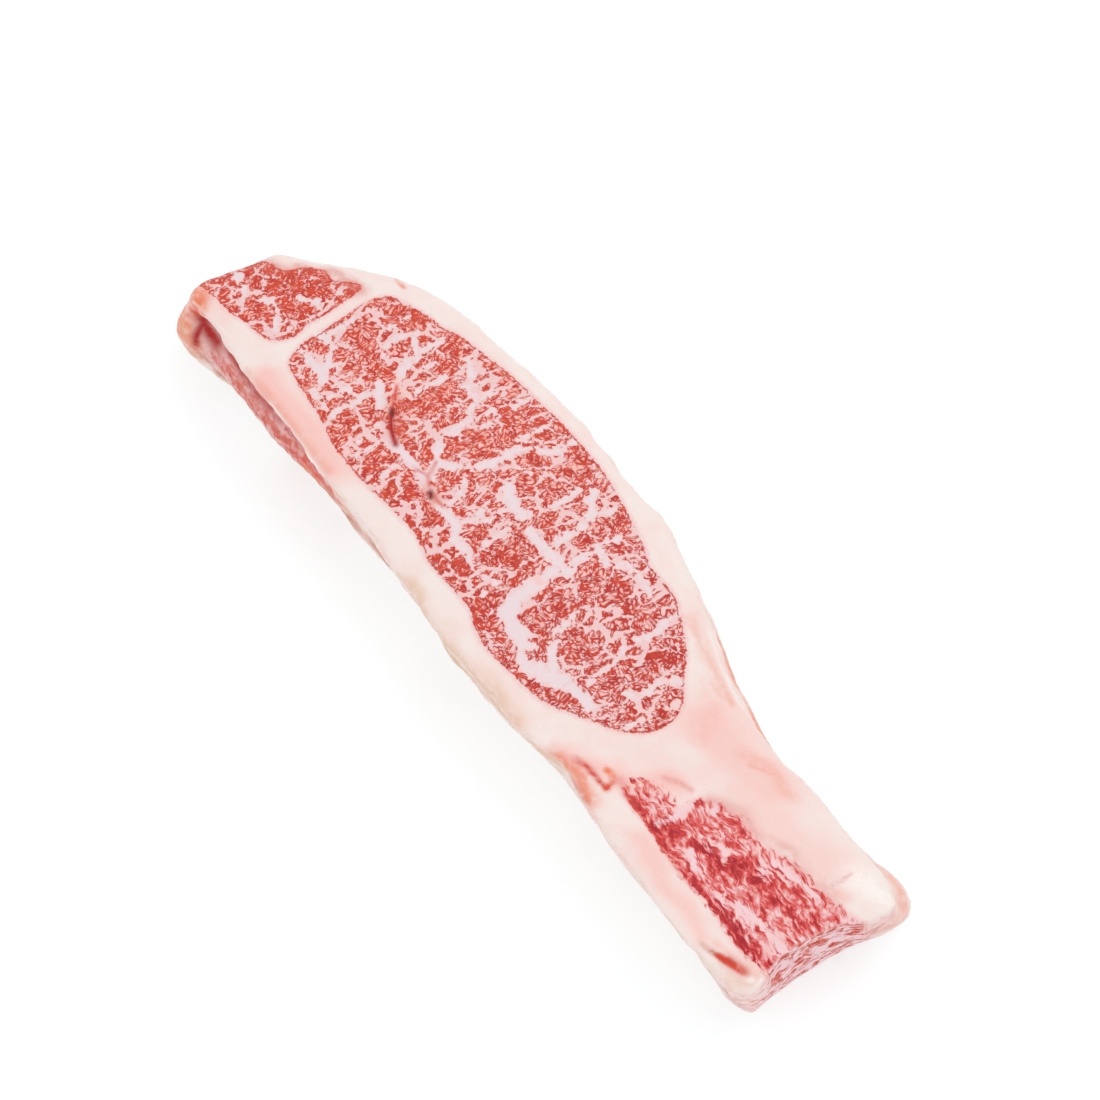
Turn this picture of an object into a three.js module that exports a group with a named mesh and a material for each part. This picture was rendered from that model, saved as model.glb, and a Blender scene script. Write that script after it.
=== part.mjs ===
// Raw wagyu ribeye cap: one thick boneless slice of three marbled muscles in white fat, lying on a cut face.
// Millimetres, +Z up. +X runs along the slice from its head to its tail, +Y from the near edge to the far edge.
// The origin is the middle of the underside's box, on the surface that the slice rests on.
import * as THREE from "three";

const thickness = 26; // between the two cut faces
const stepsAlong = 92; // facets from head to tail
const stepsAcross = 16; // facets from the near edge to the far edge
const wallSteps = 6; // facets down the side, between its two rounded rims
const rimSteps = 2; // facets round each rim

// Plans of the two cut faces, each edge a smooth curve through a few points. The near and far edges run from head
// to tail, the two ends from near to far. The knife leaned, so the lower face lies further to the far side.
const upperFace = {
  near: [
    [-127.5, -34.4], [-119, -32.6], [-107, -33.4], [-95, -34], [-75, -33.3], [-58, -33.7], [-40, -32.8],
    [-20, -33.5], [5, -34.1], [24, -33], [37, -32.4], [47, -29.4], [53, -28.8], [64, -30.2], [80, -31],
    [102, -31.2],
    [115, -29.4], [125, -26.6],
  ],
  far: [
    [-129, -4.2], [-118, 5.8], [-108, 15.6], [-98, 21.8], [-83, 27.2], [-60, 31], [-43, 33], [-34, 34.3],
    [-24, 34.6], [-7, 34.1], [0, 34.8], [6, 34.8], [13, 33], [21, 31.2], [37, 27], [51, 21.8], [67, 17.8],
    [80, 17.6], [91, 19.8],
    [105, 19.6], [119, 20.2], [128, 18],
  ],
  head: [[-127.5, -34.4], [-131.4, -31.2], [-132, -23], [-131, -14], [-129, -4.2]],
  tail: [[125, -26.6], [126, -20], [123.6, -13], [123.4, -3], [124.4, 5], [128, 11], [128, 18]],
};
const lowerFace = {
  near: [
    [-132, -34], [-127, -36], [-118, -34.2], [-108, -31.2], [-90, -30], [-70, -27.8], [-50, -26.6],
    [-28, -25.8], [0, -26.4], [20, -25.8], [40, -23.4], [60, -23], [80, -23.4], [100, -22.4], [117, -22.6],
    [124.5, -19.5],
  ],
  far: [
    [-129, 1], [-118, 12], [-104, 24], [-88, 31], [-70, 36], [-50, 39], [-33, 39.2], [0, 38.6], [13, 37.8],
    [25, 36.6], [35, 34.8], [46, 30.8], [58, 27.2], [70, 25.8], [85, 25.4], [98, 26.6], [108, 29.2], [117, 31.8],
    [123.2, 31], [125.8, 26],
  ],
  head: [[-132, -34], [-135.2, -29], [-135, -21], [-132, -9], [-129, 1]],
  tail: [[124.5, -19.5], [123.4, -8], [123.2, 4], [124.2, 14], [125.8, 26]],
};

// Radius of the rim round each face, at the near, far, head and tail edges.
const rimRadius = { near: 2.2, far: 3, head: 2.4, tail: 1.6 };

// Swells (out above 0) and creases (out below 0) of the side, each round a place in plan and at a height.
// reach is how far each spreads in x, y and z.
const sideForms = [
  { name: "fat lobe at the head", at: [-133, -32, 10], reach: [11, 12, 8], out: 3.3 },
  { name: "crevice behind the lobe", at: [-119, -34, 17], reach: [6, 9, 5], out: -3.6 },
  { name: "crease under the near rim", at: [-88, -33, 19], reach: [34, 9, 3], out: -2.4 },
  { name: "rolled strip of lean", at: [-90, -33, 11], reach: [32, 9, 5], out: 2.3 },
  { name: "swell under the strip's end", at: [-48, -30, 8], reach: [11, 9, 6], out: 1.2 },
  { name: "tag of fat", at: [1, -30, 8], reach: [5, 9, 4.5], out: 1.9 },
  { name: "crease at the waist", at: [50, -27, 15], reach: [7, 9, 7], out: -0.7 },
  { name: "crease near the tail", at: [106, -28, 18], reach: [16, 9, 3], out: -1.8 },
  { name: "lump at the tail's near corner", at: [125, -23, 10], reach: [9, 7, 8], out: 1.5 },
  { name: "ledge across the tail", at: [123, -4, 17], reach: [9, 15, 2.4], out: -1.2 },
  { name: "ridge across the tail", at: [123, -3, 11], reach: [9, 17, 2.6], out: 0.9 },
  { name: "crease over the tail's skirt", at: [124, 23, 14], reach: [16, 11, 3], out: -2 },
  { name: "tail's skirt", at: [121, 28, 7], reach: [13, 11, 5], out: 0.6 },
  { name: "crease over the far skirt", at: [50, 26, 14], reach: [24, 12, 3], out: -1.6 },
  { name: "far skirt", at: [60, 28, 8], reach: [15, 12, 4.5], out: 1.7 },
];

// Rises and dips of the upper face, each an oval round a place in plan.
const faceForms = [
  { name: "swell of the large muscle", at: [-22, 3], reach: [75, 26], rise: 1.1 },
  { name: "swell of the head muscle", at: [-114, -14], reach: [15, 15], rise: 0.6 },
  { name: "sag at the head", at: [-136, -24], reach: [12, 26], rise: -1.2 },
  { name: "dip at the waist", at: [62, -14], reach: [13, 15], rise: -1 },
  { name: "swell of the far fat", at: [88, 10], reach: [26, 9], rise: 0.8 },
  { name: "slope to the tail", at: [136, -2], reach: [24, 60], rise: -4.2 },
  { name: "sunk near corner of the tail", at: [126, -27], reach: [13, 9], rise: -4.5 },
];

// Slow unevenness that no cut edge is free of: waves of falling length, each turned by the golden angle.
const unevenness = { depth: 0.3, longestWave: 53, shrink: 0.72, waveCount: 7 };
const goldenAngle = Math.PI * (3 - Math.sqrt(5));

const smoothBump = (distanceSquared) => Math.exp(-distanceSquared * distanceSquared);

function waves(x, y, z) {
  let sum = 0;
  for (let i = 0; i < unevenness.waveCount; i++) {
    const shrunk = unevenness.shrink ** i;
    const along = x * Math.cos(i * goldenAngle) + (y + z) * Math.sin(i * goldenAngle);
    sum += shrunk * Math.sin((2 * Math.PI * along) / (unevenness.longestWave * shrunk) + i * i);
  }
  return sum * unevenness.depth;
}

function sideRelief(x, y, z) {
  return sideForms.reduce((sum, { at, reach, out }) => {
    const away = ((x - at[0]) / reach[0]) ** 2 + ((y - at[1]) / reach[1]) ** 2 + ((z - at[2]) / reach[2]) ** 2;
    return sum + out * smoothBump(away);
  }, waves(x, y, z));
}

function faceRelief(x, y) {
  return faceForms.reduce((sum, { at, reach, rise }) => {
    const away = ((x - at[0]) / reach[0]) ** 2 + ((y - at[1]) / reach[1]) ** 2;
    return sum + rise * Math.exp(-away);
  }, 0.5 * waves(x, y, 0));
}

// One closed loop round a face, anticlockwise from above, starting at the head's near corner. Each entry has its
// place in plan and its rim's radius. The loop has stepsAlong facets on the long edges and stepsAcross on the ends.
function loopOf(face) {
  const sides = [
    ["near", stepsAlong, false],
    ["tail", stepsAcross, false],
    ["far", stepsAlong, true],
    ["head", stepsAcross, true],
  ];
  return sides.flatMap(([side, steps, backwards]) => {
    const curve = new THREE.SplineCurve(face[side].map(([x, y]) => new THREE.Vector2(x, y)));
    const points = curve.getSpacedPoints(steps);
    if (backwards) points.reverse();
    return points.slice(0, steps).map((point) => ({ point, radius: rimRadius[side] }));
  });
}

// Values round a loop, each averaged with its neighbours, so that rims of different radius run into each other.
function smoothed(values, passes) {
  const count = values.length;
  let now = values;
  for (let pass = 0; pass < passes; pass++) {
    now = now.map((value, i) => (now[(i + count - 1) % count] + 2 * value + now[(i + 1) % count]) / 4);
  }
  return now;
}

function outwardNormals(points) {
  const count = points.length;
  const raw = points.map((_, i) => {
    const along = points[(i + 1) % count].clone().sub(points[(i + count - 1) % count]).normalize();
    return new THREE.Vector2(along.y, -along.x);
  });
  const xs = smoothed(raw.map((n) => n.x), 3);
  const ys = smoothed(raw.map((n) => n.y), 3);
  return xs.map((x, i) => new THREE.Vector2(x, ys[i]).normalize());
}

// How far in and how high each ring of the side lies: round the upper rim, down the side, round the lower rim.
function ringProfile(radius, top) {
  const rings = [];
  for (let i = 0; i <= rimSteps; i++) {
    const angle = (i / rimSteps) * (Math.PI / 2);
    rings.push({ inset: radius * (1 - Math.sin(angle)), z: top - radius * (1 - Math.cos(angle)) });
  }
  for (let i = 1; i < wallSteps; i++) {
    rings.push({ inset: 0, z: top - radius - (i / wallSteps) * (top - 2 * radius) });
  }
  for (let i = 0; i <= rimSteps; i++) {
    const angle = (i / rimSteps) * (Math.PI / 2);
    rings.push({ inset: radius * (1 - Math.cos(angle)), z: radius * (1 - Math.sin(angle)) });
  }
  return rings;
}

// The rings of the side, from the upper face's border to the lower face's, each a loop of points in space.
function sideRings() {
  const upper = loopOf(upperFace);
  const lower = loopOf(lowerFace);
  const radii = smoothed(upper.map(({ radius }) => radius), 6);
  const normals = outwardNormals(upper.map(({ point }) => point));
  const columns = upper.map(({ point }, i) => {
    const top = thickness + faceRelief(point.x, point.y);
    return ringProfile(radii[i], top).map(({ inset, z }) => {
      const place = point.clone().lerp(lower[i].point, 1 - z / top);
      const settled = THREE.MathUtils.smoothstep(z, 0, 2 * radii[i]);
      const push = sideRelief(place.x, place.y, z) * settled - inset;
      return new THREE.Vector3(place.x + normals[i].x * push, place.y + normals[i].y * push, z);
    });
  });
  return columns[0].map((_, ring) => columns.map((column) => column[ring]));
}

// A bilinear Coons patch over a loop's four sides, as rows of points from head to tail, borders included.
function patchOver(loop) {
  const tailNear = stepsAlong;
  const tailFar = stepsAlong + stepsAcross;
  const headFar = tailFar + stepsAlong;
  const at = (index) => loop[index % loop.length];
  const rows = [];
  for (let i = 0; i <= stepsAlong; i++) {
    const u = i / stepsAlong;
    const row = [];
    for (let j = 0; j <= stepsAcross; j++) {
      const v = j / stepsAcross;
      const near = at(i);
      const far = at(headFar - i);
      const head = at(loop.length - j);
      const tail = at(tailNear + j);
      const point = new THREE.Vector3()
        .addScaledVector(near, 1 - v).addScaledVector(far, v)
        .addScaledVector(head, 1 - u).addScaledVector(tail, u)
        .addScaledVector(at(0), -(1 - u) * (1 - v)).addScaledVector(at(tailNear), -u * (1 - v))
        .addScaledVector(at(headFar), -(1 - u) * v).addScaledVector(at(tailFar), -u * v);
      row.push(point);
    }
    rows.push(row);
  }
  return rows;
}

// Collects points and triangles of one closed surface. Points on a shared ring are entered once.
class Surface {
  constructor() {
    this.positions = [];
    this.triangles = [];
  }

  add(point) {
    this.positions.push(point.x, point.y, point.z);
    return this.positions.length / 3 - 1;
  }

  quad(a, b, c, d) {
    this.triangles.push(a, b, c, a, c, d);
  }

  // The plans are drawn round a point near the slice's middle, so the whole is moved onto its own box's middle.
  geometry() {
    const made = new THREE.BufferGeometry();
    made.setAttribute("position", new THREE.Float32BufferAttribute(this.positions, 3));
    made.setIndex(this.triangles);
    made.computeVertexNormals();
    made.computeBoundingBox();
    const middle = made.boundingBox.getCenter(new THREE.Vector3());
    return made.translate(-middle.x, -middle.y, 0);
  }
}

// Fills a face inside its border ring. heightAt gives each inner point's height, and facesUp which way it looks.
function addFace(surface, loop, loopIndices, heightAt, facesUp) {
  const rows = patchOver(loop);
  const headFar = stepsAlong + stepsAcross + stepsAlong;
  const indexOf = rows.map((row, i) => row.map((point, j) => {
    if (j === 0) return loopIndices[i];
    if (j === stepsAcross) return loopIndices[headFar - i];
    if (i === 0) return loopIndices[loop.length - j];
    if (i === stepsAlong) return loopIndices[stepsAlong + j];
    return surface.add(new THREE.Vector3(point.x, point.y, heightAt(point.x, point.y)));
  }));
  for (let i = 0; i < stepsAlong; i++) {
    for (let j = 0; j < stepsAcross; j++) {
      const corners = [indexOf[i][j], indexOf[i + 1][j], indexOf[i + 1][j + 1], indexOf[i][j + 1]];
      surface.quad(...(facesUp ? corners : corners.reverse()));
    }
  }
}

function addSide(surface, ringIndices) {
  for (let ring = 0; ring + 1 < ringIndices.length; ring++) {
    const [above, below] = [ringIndices[ring], ringIndices[ring + 1]];
    const count = above.length;
    for (let i = 0; i < count; i++) {
      const next = (i + 1) % count;
      surface.quad(below[i], below[next], above[next], above[i]);
    }
  }
}

function steakGeometry() {
  const surface = new Surface();
  const rings = sideRings();
  const ringIndices = rings.map((ring) => ring.map((point) => surface.add(point)));
  addSide(surface, ringIndices);
  addFace(surface, rings[0], ringIndices[0], (x, y) => thickness + faceRelief(x, y), true);
  addFace(surface, rings.at(-1), ringIndices.at(-1), () => 0, false);
  return surface.geometry();
}

const marbledBeef = new THREE.MeshStandardMaterial({ color: 0xdf9f98, roughness: 0.42, metalness: 0 });

const steak = new THREE.Mesh(steakGeometry(), marbledBeef);
steak.name = "steak";

const ribeyeCap = new THREE.Group();
ribeyeCap.add(steak);

export default ribeyeCap;
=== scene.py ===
from math import cos, pi, radians, sin

import bmesh
import bpy
import numpy as np
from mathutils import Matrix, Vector, noise


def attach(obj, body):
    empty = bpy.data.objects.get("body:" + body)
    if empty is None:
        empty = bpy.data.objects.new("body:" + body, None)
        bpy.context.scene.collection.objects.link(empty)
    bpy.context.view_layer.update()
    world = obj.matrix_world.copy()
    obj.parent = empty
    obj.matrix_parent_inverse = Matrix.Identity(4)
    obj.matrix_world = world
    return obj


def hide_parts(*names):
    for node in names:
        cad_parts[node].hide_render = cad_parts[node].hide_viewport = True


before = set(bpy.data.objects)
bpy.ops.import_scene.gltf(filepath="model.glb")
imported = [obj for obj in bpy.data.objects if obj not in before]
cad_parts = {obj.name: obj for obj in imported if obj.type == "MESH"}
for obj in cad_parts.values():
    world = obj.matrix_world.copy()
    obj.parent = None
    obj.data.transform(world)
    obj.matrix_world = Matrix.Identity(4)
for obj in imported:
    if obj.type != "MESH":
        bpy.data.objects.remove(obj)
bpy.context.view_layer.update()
mm = 0.001

# Camera and studio
cameraView = {
    "azimuth": 56.5,  # degrees round the upright axis, 0 is straight at the near edge
    "elevation": 57.0,
    "distance": 750.0,  # mm from the target
    "target": (1.93, 3.585, 26.0),
    "lens": 93.8,
}
studio = {
    "floorSize": 6.0,  # metres
    "floorColour": (0.44, 0.47, 0.475),  # a touch cool, against the red that the meat throws on it
    "floorGlow": 0.55,  # the table is lit from below, so shadows stay light
    "skyStrength": 1.02,
    "keyPlace": (-0.1, 0.9, 1.3),
    "keySize": 1.1,
    "keyPower": 3.2,
    "fillPlace": (0.6, -0.9, 0.9),
    "fillSize": 1.2,
    "fillPower": 1.0,
}


def aimAt(thing, target):
    toward = Vector(target) - thing.location
    thing.rotation_euler = toward.to_track_quat("-Z", "Y").to_euler()


def makeCamera():
    turn, lift = radians(cameraView["azimuth"]), radians(cameraView["elevation"])
    target = Vector(cameraView["target"]) * mm
    back = Vector((sin(turn) * cos(lift), -cos(turn) * cos(lift), sin(lift)))
    data = bpy.data.cameras.new("photoCamera")
    data.lens = cameraView["lens"]
    data.sensor_width = 36.0
    data.clip_start, data.clip_end = 0.01, 50.0
    camera = bpy.data.objects.new("photoCamera", data)
    bpy.context.collection.objects.link(camera)
    camera.location = target + back * cameraView["distance"] * mm
    aimAt(camera, target)
    bpy.context.scene.camera = camera


def softLight(name, place, size, power):
    data = bpy.data.lights.new(name, "AREA")
    data.shape, data.size, data.energy = "DISK", size, power
    lamp = bpy.data.objects.new(name, data)
    bpy.context.collection.objects.link(lamp)
    lamp.location = place
    aimAt(lamp, (0, 0, 0))


def makeStudio():
    bpy.ops.mesh.primitive_plane_add(size=studio["floorSize"], location=(0, 0, 0))
    floor = bpy.context.active_object
    floor.name = "floor"
    paper = bpy.data.materials.new("whitePaper")
    paper.use_nodes = True
    surface = paper.node_tree.nodes["Principled BSDF"]
    surface.inputs["Base Color"].default_value = (*studio["floorColour"], 1)
    surface.inputs["Roughness"].default_value = 0.9
    surface.inputs["Specular IOR Level"].default_value = 0.1
    surface.inputs["Emission Color"].default_value = (1, 1, 1, 1)
    surface.inputs["Emission Strength"].default_value = studio["floorGlow"]
    floor.data.materials.append(paper)
    world = bpy.data.worlds.new("studioWorld")
    world.use_nodes = True
    sky = world.node_tree.nodes["Background"]
    sky.inputs["Color"].default_value = (1, 1, 1, 1)
    sky.inputs["Strength"].default_value = studio["skyStrength"]
    bpy.context.scene.world = world
    softLight("keyLight", studio["keyPlace"], studio["keySize"], studio["keyPower"])
    softLight("fillLight", studio["fillPlace"], studio["fillSize"], studio["fillPower"])
    bpy.context.scene.view_settings.view_transform = "Standard"
    bpy.context.scene.view_settings.look = "None"


makeCamera()
makeStudio()
print("camera and studio ready")

# The slice's muscles and seams, in plan, millimetres.
# A muscle is a closed smooth outline on the upper cut face. The lower face shows the same muscles,
# moved to the far side, because the knife leaned.
muscles = {
    "eye": [
        (-88.2, -22.2), (-91.6, -15.9), (-92.1, -10.4), (-93.3, 0.1), (-94, 4.8), (-94, 8.4),
        (-92.5, 12.3), (-89.5, 14.1), (-80.9, 17.6), (-75.4, 19), (-69.9, 21.6), (-61.7, 23.6),
        (-49.2, 26.3), (-38, 27.4), (-30.6, 28.4), (-15.3, 29.1), (-4.7, 28.4), (8.4, 26),
        (15.8, 24.2), (21.4, 22.3), (31.3, 22.5), (36.8, 20.6), (42.3, 18), (47.8, 15.1),
        (53.8, 10), (59.6, 5.7), (61.7, 1.4), (61.9, -2.6), (60.3, -7.6), (55.3, -13),
        (51.1, -15.7), (44.9, -19.7), (39.1, -23.1), (32.1, -24.8), (17.7, -26.6), (11.1, -25.8),
        (4.5, -23.8), (-11, -24.8), (-21.1, -23.4), (-28.2, -23.8), (-43.7, -26), (-52.6, -26.4),
        (-59.1, -26.5), (-66.2, -25), (-81, -23.8),
    ],
    "cap": [
        (-138, -30), (-124.2, -28.8), (-119.4, -27.8), (-112.2, -27.1), (-107.8, -25.5),
        (-98.7, -23.4), (-95.7, -19.9), (-95.1, -15.5), (-96.4, -11.5), (-96.7, -4.4), (-97.5, 0.3),
        (-98.4, 6.3), (-100, 8.3), (-103.3, 5.4), (-105.7, 2.6), (-110.6, 2.3), (-114.9, -2.6),
        (-116.4, -7.1), (-121.4, -9), (-126, -11), (-138, -14),
    ],
    "tail": [
        (71.3, -20.6), (69.9, -17.3), (72.2, -13.8), (76.4, -12.1), (83.5, -11.5), (83.2, -8.9),
        (84.4, -5.6), (87.1, -2.9), (91.6, -1.6), (97.4, -0.5), (102.8, -0.7), (105, 0.9),
        (109.7, 2.2), (114.4, 3.4), (119.1, 3.6), (124.5, 5), (140, 7), (140, -18), (127.9, -19.8),
        (124.1, -20.6), (118.5, -21.7), (108.8, -20.7), (101.4, -21.7), (95.2, -22), (88, -21.6),
        (82.3, -20.8), (77.5, -21.3),
    ],
}
# How far the muscles have moved to the far side at the lower face, at places along the slice.
leanOfKnife = {"along": (-130, -90, -55, 0, 60, 125), "moved": (2.5, 4.8, 6.5, 7.0, 7.3, 8.2)}

# Pale seams between the bundles of lean: width, then the points that each runs through.
fatSeams = [
    (1.6, (-91.3, 6.5), (-90.8, 1), (-90.3, -4), (-90, -9)),
    (2.2, (-95, -12), (-91, -10.5), (-87, -9.2), (-84.5, -10.8), (-82.5, -13), (-80, -15.5)),
    (2.6, (-90, -17.8), (-84, -17), (-78, -17.5), (-76.5, -21)),
    (1.4, (-80.2, -6), (-80, -10), (-81, -13)),
    (2.4, (-76, -15.5), (-72, -14), (-68, -12.5), (-66.5, -9)),
    (1.0, (-71.8, -16.5), (-71.6, -20.5)),
    (2.2, (-66.5, -13), (-67, -17), (-66.5, -21)),
    (1.2, (-75, -22), (-69, -21.6)),
    (1.2, (-83.5, 13), (-82.8, 8), (-83, 4)),
    (1.8, (-77.5, 12), (-78.6, 7), (-78, 3), (-76, 0.5)),
    (2.2, (-78, 10.5), (-74.5, 10), (-71.5, 8.5)),
    (2.0, (-71.5, 18), (-71.5, 12), (-70.5, 8), (-70.5, 3)),
    (3.0, (-69.5, 5), (-68, 1), (-65, -2)),
    (3.4, (-68, -6), (-65, -7.5), (-62, -8.5)),
    (2.4, (-61.5, 18.5), (-57, 17), (-54, 14), (-50.5, 13.5)),
    (1.8, (-60.5, 11), (-60.2, 6), (-60, 1)),
    (1.2, (-66, 11), (-66.5, 7)),
    (1.3, (-54, 21), (-53.5, 17), (-54.5, 13)),
    (2.2, (-49.5, 19.5), (-48.8, 15), (-47.5, 10.5), (-44.5, 8.4)),
    (1.8, (-43.5, 18), (-43.5, 13)),
    (1.2, (-40.3, 15), (-40.2, 9)),
    (2.6, (-44.5, 8.4), (-43.5, 3), (-43.5, -1), (-41.5, -3.5), (-38.5, -6), (-36, -9)),
    (1.6, (-41.5, 28), (-41.6, 21)),
    (1.2, (-31.3, 23), (-31.4, 15)),
    (2.6, (-22.5, 24), (-24, 19.8), (-28, 17), (-29, 12), (-28.8, 7), (-30, 2), (-32.5, -2), (-36, -5.5)),
    (1.2, (-29, 11), (-24, 10.8), (-21, 12.5)),
    (4.4, (-20, 4.6), (-15, 3), (-10.8, 3.5)),
    (3.8, (-5.5, 2.2), (0, 2.2), (5, 2.6), (11, 3.2)),
    (4.4, (8.5, 1), (9, -3), (9.5, -8), (9.8, -12.5)),
    (5.5, (9.8, -12.5), (12, -16), (17, -17), (22, -17.5), (28, -20), (34, -18), (37, -15.5)),
    (1.6, (24, -10), (23.5, -6), (22, -2)),
    (2.6, (-6.5, 24), (-5, 20.8), (-1.8, 19.5), (0.4, 15.5), (1.8, 12.5), (1.2, 9), (2.2, 5.5)),
    (2.3, (9, 21), (8.8, 16), (9.3, 12), (8.8, 8), (9, 4)),
    (2.6, (9, 14), (13, 13.3), (15.8, 14.5), (16.5, 17), (20, 18.3), (24, 18.6), (27.5, 17.5)),
    (1.4, (12.5, 25.5), (12.8, 22)),
    (1.2, (20.8, 22.8), (21.3, 19.5)),
    (2.2, (36.8, 20), (37, 15.5), (38.5, 12), (38, 8.5), (36.5, 6)),
    (2.0, (38, 2), (40, -2), (40.3, -7), (41, -11)),
    (1.0, (43.5, 18), (44, 14.5)),
    (3.4, (27, -12), (31, -15), (36, -17), (41, -14.6), (47, -14)),
    (2.2, (54, 9), (52, 6.5), (51, 2), (51.5, -2), (49.5, -4.5)),
    (1.6, (58.8, 5), (58.3, 2)),
    (1.6, (57.5, -6), (57, -9.5)),
    (3.2, (-56, -12.5), (-50, -12.8), (-44, -12.5), (-38, -11.8), (-34, -12.2), (-30, -12.8)),
    (2.8, (-30, -12.8), (-24, -13.5), (-18, -13), (-14, -15.5), (-10, -15.5)),
    (1.0, (-20.5, -14), (-20.2, -18.5)),
    (1.4, (-43, -14), (-41.5, -22)),
    (1.1, (-52, -16), (-51.3, -24)),
    (1.3, (-55.2, -14), (-55, -20)),
    (1.8, (-37, -5), (-35.5, -8), (-32.5, -11)),
    (2.0, (-28, -4), (-25, -8), (-24.5, -11)),
    (1.8, (-19, 1), (-18.7, -4), (-16.5, -7), (-17, -11)),
    (1.3, (-15, 1), (-14.5, -5), (-16, -8)),
    (1.8, (-9.5, -2), (-9, -6), (-8.5, -9.5)),
    (1.6, (-12, -16), (-8, -15.2), (-4, -16.6), (0, -15.6), (3, -14)),
    (1.2, (4.5, -11.5), (3, -16), (4, -19)),
    (1.8, (-23, 29), (-23.2, 21)),
    (1.6, (-9.2, 20), (-8.6, 12)),
    (1.2, (-10, 28), (-10.5, 24)),
    (1.6, (1, 26), (0.6, 21.5)),
    (1.8, (-101.5, 4), (-101, 0.5)),
    (2.4, (-105, -8.5), (-102, -5.5), (-99.5, -6.5)),
    (2.2, (-111, -17), (-107, -15.5), (-103, -17.5), (-100, -19.5)),
    (1.4, (-110, -3), (-109.5, -1)),
    (1.6, (-118, -19), (-113, -22.5)),
    (3.0, (-126, -18), (-121, -19)),
    (2.6, (83, -8), (84.5, -14), (83.5, -19)),
    (1.8, (86.8, -3), (88.5, -5)),
    (2.4, (99, -9), (101, -11)),
    (2.2, (94.5, -16.5), (99, -18.2)),
    (1.8, (95, -12.5), (97, -12)),
    (2.0, (106.5, -4), (110, -6)),
    (2.0, (112, -14.5), (118, -13.5), (124, -12.5), (129, -14.5)),
    (1.6, (107, -18.5), (112, -16.8), (118, -15.2)),
    (1.2, (110, -19), (116, -18.5), (121, -18)),
    (1.5, (108, -1.5), (113, 0.3), (121, 2.4)),
]
# Flecks of lean that stand alone in the wide seams.
leanFlecks = [
    (1.9, (14.3, -10), (14, -13)),
    (1.5, (15, -14.3), (17.2, -14.6)),
    (2.0, (25, -15), (28, -17)),
    (1.0, (22, -15.5), (22.6, -15.2)),
    (1.0, (26, -18.6), (26.4, -19)),
    (2.2, (39.5, -18.4), (42.3, -17.4)),
    (1.4, (-29.4, 15.5), (-28.6, 19.5)),
    (1.2, (-53.4, -15), (-52.9, -20.5)),
    (1.6, (-18, -0.8), (-16.8, -3.6)),
]


def smoothLine(points, closed, gap=0.8):
    pts = np.array(points, float)
    if len(pts) == 2 and not closed:
        return pts
    if closed:
        pts = np.vstack([pts[-1], pts, pts[0], pts[1]])
    else:
        pts = np.vstack([2 * pts[0] - pts[1], pts, 2 * pts[-1] - pts[-2]])
    line = []
    for a, b, c, d in zip(pts, pts[1:], pts[2:], pts[3:]):
        steps = max(2, int(np.linalg.norm(c - b) / gap))
        for t in np.arange(steps) / steps:
            line.append(0.5 * (2 * b + (c - a) * t + (2 * a - 5 * b + 4 * c - d) * t * t
                               + (3 * b - a - 3 * c + d) * t ** 3))
    line.append(pts[1] if closed else pts[-2])
    return np.array(line)


def distanceToLine(places, line):
    nearest = np.full(len(places), 1e9)
    for start, end in zip(line, line[1:]):
        along = end - start
        share = np.clip((places - start) @ along / max(along @ along, 1e-9), 0, 1)
        away = places - start - share[:, None] * along
        np.minimum(nearest, np.einsum("ij,ij->i", away, away), out=nearest)
    return np.sqrt(nearest)


def insideLoop(places, line):
    x, y = places[:, 0], places[:, 1]
    inside = np.zeros(len(places), bool)
    for (x0, y0), (x1, y1) in zip(line, line[1:]):
        crosses = (y0 > y) != (y1 > y)
        with np.errstate(divide="ignore", invalid="ignore"):
            inside ^= crosses & (x < (x1 - x0) * (y - y0) / (y1 - y0) + x0)
    return inside


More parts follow.
